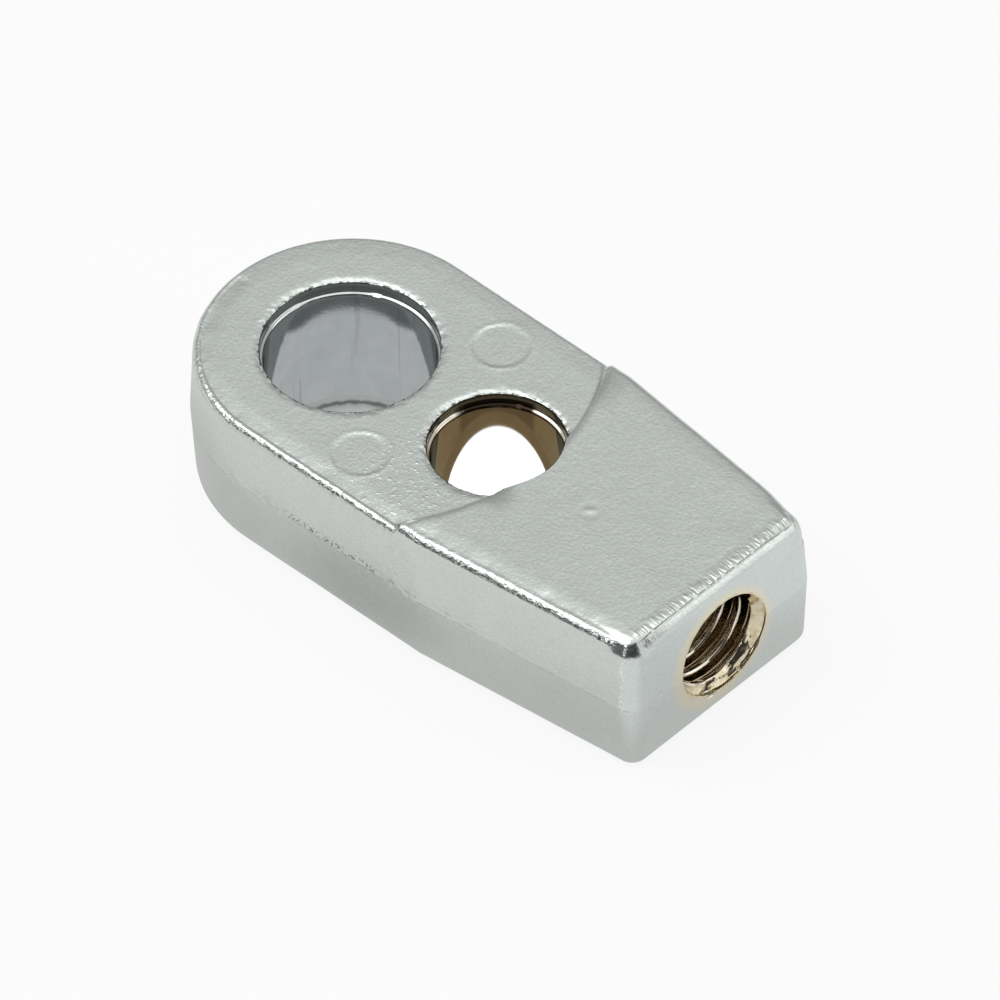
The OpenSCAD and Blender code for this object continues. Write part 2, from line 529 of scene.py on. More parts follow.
def thread_r(x, angle):
    """Radius of a right-hand thread: crest flats a quarter of the pitch wide,
    sixty-degree flanks, and corners eased by half of 3t^2 - 2t^3."""
    way = np.mod(x / THREAD_PITCH - angle / (2 * math.pi) + THREAD_PHASE, 1)
    flank = np.clip((FLANK_FROM - np.abs(way - 0.5)) / FLANK_WIDTH, 0, 1)
    eased = 0.5 * flank + 0.5 * flank * flank * (3 - 2 * flank)
    return CREST_R + (ROOT_R - CREST_R) * eased


def sink_r(x):
    """Radius of the countersink's cone."""
    return SINK_R - (END_X - x) * (SINK_R - CREST_R) / SINK_DEPTH


def socket_r(x, angle):
    """Radius of the hole: the countersink's cone or the thread, whichever is
    wider."""
    return np.maximum(sink_r(x), np.maximum(thread_r(x, angle), CREST_R))


def mouth(angle):
    """Where the countersink meets the leaning face, in three rounds: the
    face's x at the last radius, then the cone's radius at that x."""
    radius = np.full_like(angle, SINK_R)
    for _ in range(3):
        x = face_x(radius * np.sin(angle))
        radius = sink_r(x)
    return x, radius


frame_loop = np.concatenate([
    outer_skin[hole_first:hole_last, hole_low],
    outer_skin[hole_last, hole_low:hole_high],
    outer_skin[hole_last:hole_first:-1, hole_high],
    outer_skin[hole_first, hole_high:hole_low:-1],
])
loop_angle = np.arctan2(frame_loop[:, 2], frame_loop[:, 1])
mouth_x, mouth_r = mouth(loop_angle)
lip_r = mouth_r + 0.04
lip_ring = np.stack([lip_r * np.cos(loop_angle), lip_r * np.sin(loop_angle)], axis=1)
part = np.r_[0, 0.06, 0.14, np.linspace(0.25, 1, 7)][None, :, None]
flat_ring = lip_ring[:, None] * (1 - part) + frame_loop[:, None, 1:] * part
ring_x = face_x(flat_ring[:, :, 1])
end_ring = np.concatenate([ring_x[:, :, None], flat_ring], axis=2)
end_ring[:, -1] = frame_loop
sheet(end_ring, closed=True)

spokes = even_angles(SOCKET_SPOKES)
mouth_x, mouth_r = mouth(spokes)
depth = np.r_[0.0, 0.05, np.linspace(0.12, 4.2, 86), np.linspace(4.35, SOCKET_END, 38)]
set_back = np.clip(1 - depth / SINK_DEPTH, 0, 1)
x = (END_X - depth)[None, :] - (END_X - mouth_x)[:, None] * set_back[None, :]
fade = smooth(SOCKET_END - THREAD_FADE[0], SOCKET_END - THREAD_FADE[1], depth)[None, :]
radius = socket_r(x, spokes[:, None]) * (1 - fade) + CREST_R * fade
tip_x = END_X - SOCKET_END - CREST_R / math.tan(DRILL_HALF_ANGLE)
x = np.concatenate([x, x[:, -1:] * 0.5 + tip_x * 0.5, np.full((SOCKET_SPOKES, 1), tip_x)], axis=1)
radius = np.concatenate([radius, radius[:, -1:] * 0.5, np.zeros((SOCKET_SPOKES, 1))], axis=1)
socket = np.stack([x, radius * np.cos(spokes)[:, None], radius * np.sin(spokes)[:, None]], axis=-1)
sheet(socket, closed=True)
stitch(end_ring[:, 0], socket[:, 0], loop_angle, spokes)


# Joined: the sheets share their edges, so welding them gives the one closed
# casting, cast in one piece and chrome plated. What the die, the plating and
# use left on its surface is then moved in, by hundredths of a millimetre.
WELD = 0.002
points = np.concatenate([grid for grid, _ in sheets])
faces = np.concatenate([corners for _, corners in sheets])
raw = bpy.data.meshes.new("raw_casting")
raw.from_pydata(points * MM, [], faces.tolist())
solid = bmesh.new()
solid.from_mesh(raw)
bmesh.ops.remove_doubles(solid, verts=solid.verts, dist=WELD * MM)
bmesh.ops.recalc_face_normals(solid, faces=solid.faces)
casting = bpy.data.meshes.new("eye_end_casting")
solid.to_mesh(casting)
solid.free()
bpy.data.meshes.remove(raw)
casting.shade_smooth()

link = bpy.data.objects.new("eye_end_casting", casting)
bpy.context.scene.collection.objects.link(link)
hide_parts("eye_end")
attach(link, "root")


def grain(points, size, seed):
    """Smooth noise between -1 and 1: hashed values at the corners of cubes of
    that size, eased across each cube along 6t^5 - 15t^4 + 10t^3."""
    place = points / size + 37.7 * seed
    cell = np.floor(place).astype(np.int64)
    t = place - cell
    t = t * t * t * (t * (t * 6 - 15) + 10)
    total = np.zeros(len(points))
    for corner in itertools.product((0, 1), repeat=3):
        key = (cell + corner) * [73856093, 19349663, 83492791]
        mixed = (key[:, 0] ^ key[:, 1] ^ key[:, 2] ^ (seed * 2654435761)) & 0xFFFFFFFF
        mixed = (mixed ^ (mixed >> 15)) * 2246822519 & 0xFFFFFFFF
        mixed = (mixed ^ (mixed >> 13)) * 3266489917 & 0xFFFFFFFF
        value = (mixed ^ (mixed >> 16)) / 0x7FFFFFFF - 1
        total += value * np.prod(np.where(corner, t, 1 - t), axis=1)
    return total


count = len(casting.vertices)
at = np.empty(count * 3, np.float32)
casting.vertices.foreach_get("co", at)
at = at.reshape(-1, 3).astype(float) / MM
normal = np.empty(count * 3, np.float32)
casting.vertex_normals.foreach_get("vector", normal)
normal = normal.reshape(-1, 3).astype(float)
x, y, z = at.T
from_pin, from_link = np.hypot(x, y), np.hypot(x - LINK_X, y)
from_thread = np.hypot(y, z)
RIM_FADE = 0.12
BLOCK_RIM_FADE = 0.03
SOCKET_FROM = 14.0
in_socket = smooth(SINK_R + RIM_FADE, SINK_R, from_thread) * (x > SOCKET_FROM)
beside_block = z > 3.95
link_rim = np.where(beside_block, LINK_R, link_rim_r)
link_fade = np.where(beside_block, BLOCK_RIM_FADE, RIM_FADE)
in_link = smooth(link_rim + link_fade, link_rim, from_link)
in_pin = smooth(pin_rim_r + RIM_FADE, pin_rim_r, from_pin)
outside = (1 - in_socket) * (1 - in_link) * (1 - in_pin)

# The two end corners are rounded off more at the top than the edges beside
# them: points past a tall ellipsoid inside each corner are drawn in to it.
BALL_R = CORNER - lean(BLOCK_TOP - CORNER)
BALL_TALL = 1.45
taper = (EYE_R - END_HALF) / (END_X - CORNER - TAPER_X)
half_width = EYE_R - taper * np.maximum(x - TAPER_X, 0)
from_ball = np.stack([
    np.maximum(x - END_X + CORNER, 0),
    np.maximum(np.abs(y) - half_width + CORNER, 0) * np.sign(y),
    np.maximum(z - BLOCK_TOP + BALL_TALL, 0) * BALL_R / BALL_TALL,
], axis=1)
ball_gap = np.linalg.norm(from_ball, axis=1)
drawn_in = np.maximum(1 - BALL_R / np.maximum(ball_gap, BALL_R), 0) * (z > 2.4)
drawn_in *= smooth(21.8, 24.1, x) * smooth(3.4, 5.5, np.abs(y)) * (1 - in_socket)
at -= from_ball * drawn_in[:, None] * [1, 1, BALL_TALL / BALL_R]

# The near corner is also worn to a blunt cone: points past it are moved back
# to it along its own normal.
CONE_TILT = math.radians(55)
CONE_R, CONE_Z = 0.63, 3.77
from_axis = np.maximum(np.stack([x - END_X + CORNER, -y - half_width + CORNER], axis=1), 0)
axis_gap = np.hypot(from_axis[:, 0], from_axis[:, 1])
beyond = (axis_gap - CONE_R) * math.sin(CONE_TILT) + (z - CONE_Z) * math.cos(CONE_TILT)
beyond = np.maximum(beyond, 0) * smooth(23.3, 24.1, x) * smooth(4.8, 5.5, -y)
beyond *= (z > 2.9) * (1 - in_socket)
inward = from_axis * [1, -1] / np.maximum(axis_gap, 0.05)[:, None] * math.sin(CONE_TILT)
at[:, :2] -= inward * beyond[:, None]
at[:, 2] -= beyond * math.cos(CONE_TILT)

# The block's shoulder is soft along the step, lower where it meets the second
# bore on the near side and almost gone at the far edge. Both end corners drop.
CROSSING_X, CROSSING_Y = 12.4, -2.6
DROP_MOST = 0.36
past_step = np.maximum(from_pin - STEP_R, 0)
rise = np.clip((z - EYE_TOP) / (BLOCK_TOP - EYE_TOP), 0, 1) * (x > 9)
crossing = np.hypot(x - CROSSING_X, y - CROSSING_Y)
shoulder_drop = 0.10 * np.clip(1 - past_step / 0.5, 0, 1) ** 2
shoulder_drop += 0.17 * np.exp(-((crossing / 0.8) ** 2))
shoulder_drop += 0.27 * smooth(4.6, 7.2, y) * np.clip(1 - past_step / 1.5, 0, 1) ** 1.5
corner_gap = np.hypot(x - END_X + 0.2, np.abs(y) - END_HALF + 0.2)
shoulder_drop += 0.07 * np.clip(1 - corner_gap / 1.9, 0, 1) ** 2
at[:, 2] -= rise * np.minimum(shoulder_drop, DROP_MOST)

# Cast grain: a fine orange peel over a slow swell, liveliest near the edges
# and on a patch of the eye's flat by the second bore.
PLATE_IN = 0.03
LIVELY_X, LIVELY_Y = 8.6, -4.6
flat_top = smooth(0.9, 0.99, normal[:, 2]) * outside
edge_round = smooth(0.15, 0.4, normal[:, 2]) * smooth(0.985, 0.93, normal[:, 2]) * outside
peel = 0.0025 * grain(at, 0.62, 1) + 0.0025 * grain(at, 0.34, 2)
swell = 0.008 * grain(at, 2.6, 3)
to_side = np.where(x > 0, half_width - np.abs(y), EYE_R - from_pin)
to_end = END_X - x
to_edge = np.minimum(to_side, to_end)
in_patch = smooth(4.2, 1.2, np.hypot(x - LIVELY_X, y - LIVELY_Y))
lively = 1 + 1.6 * smooth(2.6, 0.6, to_edge) + 1.6 * in_patch
move = outside * (peel * (0.5 + 0.5 * flat_top * lively) + swell - PLATE_IN)

# Towards the top edges the flats sag, and small wrinkles cross them. Past the
# end's wrinkles the edge round is smooth, and so is the worn near corner.
CALM_X, CALM_Y = 24.7, -6.1
WRINKLE = 0.020
sag = smooth(1.7, 0.5, to_edge)
near_side = (y < 0) * smooth(-0.4, 0.5, to_end - to_side)
move -= flat_top * sag * (0.04 + 0.05 * near_side * (1 + 0.5 * grain(at, 0.8, 17)))
end_wrinkle = grain(at * [0.2, 1, 0.4], 0.27, 5)
end_wrinkle *= smooth(1.6, 0.9, to_end) * smooth(0.6, 0.85, to_end)
side_wrinkle = grain(at * [1, 0.3, 0.4], 0.30, 6) * smooth(1.4, 0.6, to_side)
side_wrinkle += 0.8 * grain(at, 0.36, 18) * smooth(1.2, 0.5, to_side) * near_side
side_wrinkle *= 0.3 + 0.7 * smooth(1.0, -4.0, y)
calm = smooth(0.8, 1.7, np.hypot(x - CALM_X, y - CALM_Y))
crinkle = calm * 0.8 * np.where(to_end < to_side, end_wrinkle, side_wrinkle) * (z > 3.2)
move += WRINKLE * np.maximum(flat_top * sag, edge_round) * crinkle

# The rims' edges are worn down towards the bores, unevenly.
WEAR_REACH = 0.46
WEAR_DEPTH = 0.11
wear = np.zeros(count)
on_eye = from_pin < STEP_R - 0.2
for gap, keep in ((from_pin - pin_rim_r, 1.0), (from_link - link_rim_r, on_eye)):
    reach = WEAR_REACH * (1 + 0.3 * grain(at, 0.5, 7) + 0.35 * grain(at, 0.22, 8))
    lip = np.clip(1 - gap / reach, 0, 1) ** 2 * (gap > -0.06) * keep
    wear += lip * (WEAR_DEPTH + 0.04 * grain(at, 0.25, 9))
at[:, 2] -= wear * smooth(2.9, 3.7, z)

# The two ejector marks, each a shallow disc in a slight ring, and an oval
# pimple in the block's plating, longest across its own diagonal.
MARK_X, MARK_Y = 5.5, 5.05
MARK_R, MARK_RING_R = 1.42, 1.58
PIMPLE_X, PIMPLE_Y = 16.8, -0.6
PIMPLE_LONG, PIMPLE_SHORT, PIMPLE_TALL = 0.60, 0.38, 0.055
for side in (-1, 1):
    mark = np.hypot(x - MARK_X, y - side * MARK_Y)
    disc = 0.03 * smooth(MARK_R + 0.08, MARK_R - 0.08, mark)
    move -= flat_top * (disc - 0.014 * smooth(0.15, 0, np.abs(mark - MARK_RING_R)))
from_x, from_y = x - PIMPLE_X, y - PIMPLE_Y
pimple = np.hypot((from_x + from_y) / PIMPLE_LONG, (from_x - from_y) / PIMPLE_SHORT)
move += PIMPLE_TALL * np.clip(1 - pimple**2, 0, 1) ** 2 * flat_top

# Cast pits along the parting line, and the streak down the near corner, which only the material
# shows: a rougher bump there and painted highlight dots.
PIT_DEPTH = 0.05
pits = smooth(0.30, 0.65, grain(at, 0.26, 11)) * smooth(0.20, 0.03, np.abs(z - PARTING - 0.08))
pits *= smooth(0.0, 0.5, grain(at, 2.6, 12) + 0.15)
move -= PIT_DEPTH * pits * outside
# The near corner's streak: its bump is rougher, and the material paints highlight dots on it.
corner = smooth(0.988, 0.9965, 0.26 * normal[:, 0] - 0.966 * normal[:, 1])
corner *= smooth(-0.8, -0.2, z) * smooth(23.6, 24.0, x) * outside

# Burrs and chips in the countersink, low on the near side.
CHIP_OUT, CHIP_BACK = 0.10, 0.08
thread_angle = np.degrees(np.arctan2(z, y))
broken = smooth(-128, -108, thread_angle) * smooth(-30, -44, thread_angle)
broken *= smooth(24.40, 24.65, x) * smooth(2.48, 2.6, from_thread) * smooth(3.16, 3.04, from_thread)
chip = smooth(0.12, 0.42, grain(at, 0.62, 14) + 0.35 * grain(at, 0.28, 15))
burr = broken * (CHIP_OUT * chip + 0.02 * grain(at, 0.24, 16))
at[:, 1:] *= 1 + (burr / np.maximum(from_thread, 1))[:, None]
at[:, 0] -= CHIP_BACK * broken * chip

moved = at + normal * move[:, None]
box_low, box_high = np.array(cad_low) / MM, np.array(cad_high) / MM
moved = np.clip(moved, box_low, box_high)
casting.vertices.foreach_set("co", (moved * MM).ravel())
casting.update()
near_edge = edge_round * smooth(-1.5, -5.0, y) * (to_side < to_end) * calm
# The corner mask carries the streak's rougher bump and its painted highlight dots.
for name, mask in (("edge", near_edge), ("corner", corner), ("chips", broken * chip)):
    layer = casting.attributes.new(name, "FLOAT", "POINT")
    layer.data.foreach_set("value", mask.astype(np.float32))


class Wire:
    """One value inside a material: an operator on it adds the Math node that
    the sign stands for."""

    def __init__(self, tree, socket=None):
        self.tree, self.socket = tree, socket

    def node(self, kind, settings=None, inputs=None, output=0):
        """Adds a node: its settings first, then the values or wires of its
        sockets. Gives the wire that leaves it."""
        node = self.tree.nodes.new(kind)
        for name, value in (settings or {}).items():
            setattr(node, name, value)
        for name, value in (inputs or {}).items():
            if isinstance(value, Wire):
                self.tree.links.new(value.socket, node.inputs[name])
            else:
                node.inputs[name].default_value = value
        return Wire(self.tree, node.outputs[output] if node.outputs else None)

    def math(self, operation, *values):
        return self.node("ShaderNodeMath", {"operation": operation}, dict(enumerate(values)))

    def __add__(self, other):
        return self.math("ADD", self, other)

    def __sub__(self, other):
        return self.math("SUBTRACT", self, other)

    def __rsub__(self, other):
        return self.math("SUBTRACT", other, self)

    def __mul__(self, other):
        return self.math("MULTIPLY", self, other)

    def __truediv__(self, other):
        return self.math("DIVIDE", self, other)

    def __abs__(self):
        return self.math("ABSOLUTE", self)

    def most(self, other):
        return self.math("MAXIMUM", self, other)

    def least(self, other):
        return self.math("MINIMUM", self, other)

    __radd__ = __add__
    __rmul__ = __mul__


def blank(block):
    """Empties the nodes of a material or world and gives the wire that makes
    its new ones."""
    block.use_nodes = True
    block.node_tree.nodes.clear()
    return Wire(block.node_tree)


def ease(value, low, high):
    """Rises smoothly from 0 at low to 1 at high, or falls if low is the
    larger."""
    settings = {"interpolation_type": "SMOOTHSTEP"}
    inputs = {"Value": value, "From Min": low, "From Max": high}
    return value.node("ShaderNodeMapRange", settings, inputs)


def blend(factor, colour_a, colour_b):
    """Goes from one colour to the other as the factor goes from 0 to 1."""
    inputs = {0: factor, 6: colour_a, 7: colour_b}
    return factor.node("ShaderNodeMix", {"data_type": "RGBA"}, inputs, output=2)


def speckle(vector, scale, detail=2.0):
    """A noise texture's value, about a half on average."""
    inputs = {"Vector": vector, "Scale": scale, "Detail": detail}
    return vector.node("ShaderNodeTexNoise", None, inputs)


def stretched(vector, scale):
    """The same coordinates, stretched or squeezed along each axis."""
    return vector.node("ShaderNodeMapping", None, {"Vector": vector, "Scale": scale})


def apart(vector):
    """A vector's three parts."""
    return [vector.node("ShaderNodeSeparateXYZ", None, {0: vector}, output=k) for k in range(3)]


def reach_from(a, b):
    """Length of the hypotenuse over a and b."""
    squares = a * a + b * b
    return squares.math("SQRT", squares)


# The finish: satin chrome plate over a brassy undercoat, which shows bare in
# the second bore and the socket. First the masks that say what is where.
chrome = bpy.data.materials.new("satin_chrome")
make = blank(chrome)
in_mm = stretched(make.node("ShaderNodeTexCoord", output="Object"), (1000, 1000, 1000))
px, py, pz = apart(in_mm)
pin_gap = reach_from(px, py)
link_gap = reach_from(px - LINK_X, py)
thread_gap = reach_from(py, pz)
depth_in = END_X - px
pin_bore = ease(pin_gap, pin_rim_r + 0.06, pin_rim_r - 0.01)
block_wall = ease(pz, 3.80, 3.86) * ease(link_gap, LINK_R + 0.015, LINK_R + 0.045)
link_bore = ease(link_gap, link_rim_r + 0.065, link_rim_r - 0.005) * (1 - block_wall)
socket_wall = ease(thread_gap, SINK_R + 0.05, SINK_R - 0.02)
socket_wall = socket_wall * ease(px, SOCKET_FROM - 0.5, SOCKET_FROM)
near_wall = ease(py, -6.2, -6.5)
edge = make.node("ShaderNodeAttribute", {"attribute_name": "edge"}, output="Fac")
corner_relief_and_highlight = make.node("ShaderNodeAttribute", {"attribute_name": "corner"}, output="Fac")
chips = make.node("ShaderNodeAttribute", {"attribute_name": "chips"}, output="Fac")
grain_fine = speckle(in_mm, 5.2, 3.0)
grain_mid = speckle(in_mm, 2.4, 2.0)
grain_slow = speckle(in_mm, 0.5, 2.0)
cloud = speckle(in_mm, 0.9, 3.0)

# The plate: pale grey chrome, faintly mottled, with a gold halo round the socket, a crease and pits
# along the parting line, a row of painted highlight dots down the near corner, and a dark line
# where the top's wrinkles end.
PLATE_SHADE, PLATE_LIGHT = (0.678, 0.714, 0.686, 1), (0.748, 0.785, 0.757, 1)
MOTTLE, DARK_MOTTLE = (0.585, 0.613, 0.592, 1), (0.52, 0.54, 0.53, 1)
HALO_GOLD, CREASE_GREY = (0.84, 0.76, 0.56, 1), (0.35, 0.36, 0.35, 1)
GLINT_WHITE, END_LINE_GREY = (0.97, 0.98, 0.97, 1), (0.22, 0.23, 0.22, 1)
PIT_BLACK, LIP_BLACK = (0.12, 0.12, 0.11, 1), (0.06, 0.06, 0.06, 1)
END_LINE_IN = 0.63
plate = blend(grain_slow, PLATE_SHADE, PLATE_LIGHT)
plate = blend(ease(speckle(in_mm, 8.0, 2.0), 0.3, 0.7) * 0.34, plate, MOTTLE)
plate = blend(ease(grain_mid, 0.66, 0.84) * 0.25, plate, DARK_MOTTLE)
halo_gap = reach_from(py + 0.12, pz + 0.15) + grain_mid * 0.35
halo = ease(halo_gap, 3.95, 3.35) * ease(px, 24.3, 24.7)
plate = blend(halo * 0.7, plate, HALO_GOLD)
crease = ease(abs(pz - PARTING), 0.07, 0.02) * ease(cloud, 0.35, 0.6)
plate = blend(crease * near_wall * 0.30, plate, CREASE_GREY)
# Painted highlight: white dots down the near corner's streak.
corner_glints = corner_relief_and_highlight * ease(grain_fine, 0.46, 0.60)
plate = blend(corner_glints * 0.8, plate, GLINT_WHITE)
# A dark line with a slight groove across the top near the end, where the end's wrinkles stop.
end_line = ease(abs(depth_in - END_LINE_IN), 0.05, 0.02) * ease(pz, 3.6, 3.8)
end_line = end_line * ease(abs(py), 5.6, 5.0) * ease(grain_mid, 0.36, 0.50)
plate = blend(end_line * 0.7, plate, END_LINE_GREY)
pit = ease(speckle(in_mm, 6.5, 1.0), 0.56, 0.64) * ease(abs(pz - 0.10), 0.30, 0.08)
pit = pit * ease(abs(px - 6.5), 4.5, 2.5) * near_wall
plate = blend(pit * 0.75, plate, PIT_BLACK)

# The pin bore: thinner, cloudy plate with upright scratches and a dark ring.
BORE_SHADE, BORE_LIGHT = (0.72, 0.748, 0.738, 1), (0.925, 0.955, 0.942, 1)
SCRATCH_GREY, RING_GREY = (0.42, 0.44, 0.46, 1), (0.36, 0.37, 0.37, 1)
scratch = speckle(stretched(in_mm, (1.6, 1.6, 0.10)), 1.2, 2.0)
in_ring = ease(pz, 2.9, 3.05)
pin_tone = blend(cloud, BORE_SHADE, BORE_LIGHT)
pin_tone = blend(ease(scratch, 0.60, 0.72) * 0.35, pin_tone, SCRATCH_GREY)
pin_tone = blend(in_ring * 0.5, pin_tone, RING_GREY)

# The second bore: bare bronze undercoat, brown on the near side. On the far side its ledge carries
# a painted pale highlight, the ring above is brown, and a patch of painted black shade sits in the
# middle.
FAR_X, FAR_Y = -0.6976, 0.7165
BRONZE_SHADE, BRONZE_LIGHT = (0.60, 0.47, 0.30, 1), (0.80, 0.65, 0.42, 1)
BRONZE_BROWN, LEDGE_HIGHLIGHT = (0.42, 0.33, 0.21, 1), (0.88, 0.87, 0.83, 1)
RING_BROWN, PAINTED_SHADE_BLACK = (0.30, 0.27, 0.22, 1), (0.03, 0.02, 0.015, 1)
facing = ((px - LINK_X) * FAR_X + py * FAR_Y) / link_gap
far_side = ease(facing, 0.0, 0.3)
bronze = blend(cloud, BRONZE_SHADE, BRONZE_LIGHT)
bronze = blend(far_side, BRONZE_BROWN, bronze)
# Painted highlight: the far side's ledge is painted pale.
bronze = blend(in_ring * 0.8 * far_side, bronze, LEDGE_HIGHLIGHT)
bronze = blend(ease(pz, 3.12, 3.22) * 0.9, bronze, RING_BROWN)
# Painted shade: a black patch on the ledge in the middle of the far side.
ledge_shade = ease(pz + grain_mid * 0.08, 2.93, 2.98) * ease(facing + grain_mid * 0.1, 0.84, 0.93)
bronze = blend(ledge_shade * ease(pz, 3.40, 3.30), bronze, PAINTED_SHADE_BLACK)

# The socket: brassy metal, gold in the countersink, with a painted pale highlight on the thread's
# crests and painted brown shade in its roots, and black where the lip is chipped.
SINK_GOLD, SINK_TAN = (0.88, 0.78, 0.57, 1), (0.66, 0.56, 0.38, 1)
CREST_HIGHLIGHT_PALE, ROOT_SHADE_BROWN = (0.92, 0.86, 0.74, 1), (0.46, 0.37, 0.25, 1)
CHIP_BLACK = (0.03, 0.025, 0.02, 1)
sink_tone = blend(ease(grain_mid, 0.35, 0.7), SINK_GOLD, SINK_TAN)
# Painted highlight on the crests and painted shade in the roots, going by the radius.
thread_tone = blend(ease(thread_gap, CREST_R + 0.04, CREST_R + 0.16), CREST_HIGHLIGHT_PALE, ROOT_SHADE_BROWN)
socket_tone = blend(ease(depth_in, 0.62, 0.74), sink_tone, thread_tone)
socket_tone = blend(ease(chips, 0.5, 0.9) * 0.95, socket_tone, CHIP_BLACK)

# Together, with ragged dark plate on the lips of both rings.
ragged = ease(speckle(in_mm, 4.6, 2.0), 0.50, 0.58) * ease(pz, 3.55, 3.65)
pin_lip = ease(pin_gap, pin_rim_r + 0.15, pin_rim_r + 0.07)
pin_lip = pin_lip * ease(pin_gap, pin_rim_r - 0.04, pin_rim_r + 0.02)
link_lip = ease(link_gap, link_rim_r + 0.155, link_rim_r + 0.075)
link_lip = link_lip * ease(link_gap, link_rim_r - 0.045, link_rim_r + 0.015)
link_lip = link_lip * ease(pz, 3.84, 3.78)
tone = blend(pin_bore, plate, pin_tone)
tone = blend(link_bore, tone, bronze)
tone = blend(socket_wall, tone, socket_tone)
tone = blend(ragged * (pin_lip + link_lip) * 0.85, tone, LIP_BLACK)

# The grain's fine relief is bump: orange peel, bright specks on the lively
# patch of the eye's flat, and short strokes across the end of the block's top.
inside = pin_bore.most(link_bore.most(socket_wall))
roughness = 0.19 + grain_mid * 0.10 - edge * 0.08
roughness = roughness * (1 - inside) + inside * 0.09 - link_bore * 0.04
lively_spot = ease(reach_from(px - LIVELY_X, py - LIVELY_Y), 4.8, 1.6)
spark = ease(speckle(in_mm, 4.6, 1.0), 0.58, 0.76) * lively_spot
end_strip = ease(pz, 3.6, 3.8) * ease(depth_in, 0.60, 0.70) * ease(py, -5.8, -5.1)
end_strip = end_strip * ease(depth_in + grain_mid * 0.5, 1.80, 1.10)
stroke = speckle(stretched(in_mm, (0.22, 1.0, 0.22)), 5.5, 1.0)
on_pimple = ease(reach_from(px - PIMPLE_X, py - PIMPLE_Y), 0.75, 0.45)
peel_height = grain_fine * (0.019 + 0.02 * corner_relief_and_highlight + 0.035 * edge)
peel_height = (peel_height + grain_mid * (0.007 + 0.02 * edge)) * (1 - 0.8 * on_pimple)
mark_height = spark * 0.016 - pit * 0.02 + stroke * end_strip * 0.085 - end_line * 0.012
bore_height = grain_fine * 0.002 + scratch * 0.003
height = (peel_height + mark_height) * (1 - inside) + bore_height * (inside - link_bore)
bumped = make.node("ShaderNodeBump", None, {"Height": height, "Distance": MM, "Strength": 1.0})
surface = make.node(
    "ShaderNodeBsdfPrincipled",
    None,
    {"Base Color": tone, "Metallic": 1.0, "Roughness": roughness, "Normal": bumped},
)
make.node("ShaderNodeOutputMaterial", None, {"Surface": surface})
casting.materials.append(chrome)


# The studio's table: a large pale card under the part. Polished plate shows
# little but its surroundings, so what a mirrored ray finds on the card is
# given apart from what the camera sees there.
scene = bpy.context.scene
scene.view_settings.view_transform = "Standard"
TABLE_HALF = 3.0
corners = [(-TABLE_HALF, -TABLE_HALF, 0), (TABLE_HALF, -TABLE_HALF, 0)]
corners += [(TABLE_HALF, TABLE_HALF, 0), (-TABLE_HALF, TABLE_HALF, 0)]
table_mesh = bpy.data.meshes.new("table")
table_mesh.from_pydata(corners, [], [(0, 1, 2, 3)])
table_mesh.transform(Matrix.Translation((0, 0, UNDERSIDE * MM)))
table = bpy.data.objects.new("table", table_mesh)
scene.collection.objects.link(table)
table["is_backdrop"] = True

card = bpy.data.materials.new("table_card")
make = blank(card)
in_card = stretched(make.node("ShaderNodeTexCoord", output="Object"), (1000, 1000, 1000))
tx, ty, _ = apart(in_card)
from_pin_axis = reach_from(tx, ty)
from_link_axis = reach_from(tx - LINK_X, ty)
under_pin = ease(from_pin_axis, PIN_R + 0.45, PIN_R + 0.15)
under_link = ease(from_link_axis, LINK_R + 0.425, LINK_R + 0.125)
in_hole = under_pin.most(under_link)
seen = make.node("ShaderNodeLightPath", output="Is Camera Ray")
through = make.node("ShaderNodeLightPath", output="Is Transmission Ray")
mirrored = make.node("ShaderNodeLightPath", output="Is Glossy Ray")
bounces = make.node("ShaderNodeLightPath", output="Glossy Depth")
twice, thrice = ease(bounces, 1.2, 1.8), ease(bounces, 2.2, 2.8)

# A mirrored ray meets the soft contact shade round the part, darker past the
# end face and beside the near side.
SHADE_X, SHADE_Y, SHADE_LONG, SHADE_WIDE, SHADE_ROUND = 8.6, 0.0, 11.6, 3.0, 5.0
CARD_SHADE, CARD_RISE = 0.625, 0.18
CARD_WARM, CARD_COOL = (1.0, 1.0, 0.985, 1), (0.985, 1.0, 1.005, 1)
BLACK = (0, 0, 0, 1)
past_x = (abs(tx - SHADE_X) - SHADE_LONG).most(0)
past_y = (abs(ty - SHADE_Y) - SHADE_WIDE).most(0)
away = reach_from(past_x, past_y) - SHADE_ROUND
by_end = ease(tx, 22.0, 26.0)
by_corner = by_end * ease(ty, 6.0, 0.0) * ease(ty, -9.0, -4.0)
by_side = ease(reach_from((tx - 7.0) * 0.45, ty + 9.8), 3.2, 0.8)
level = CARD_SHADE + CARD_RISE * ease(away, 1.0, 5.5) * (1 - 0.5 * by_corner)
level = level - 0.13 * by_side + by_end * 0.05 - by_corner * 0.045
card_tone = blend(level, BLACK, blend(ease(tx, 23.0, 27.0), CARD_WARM, CARD_COOL))

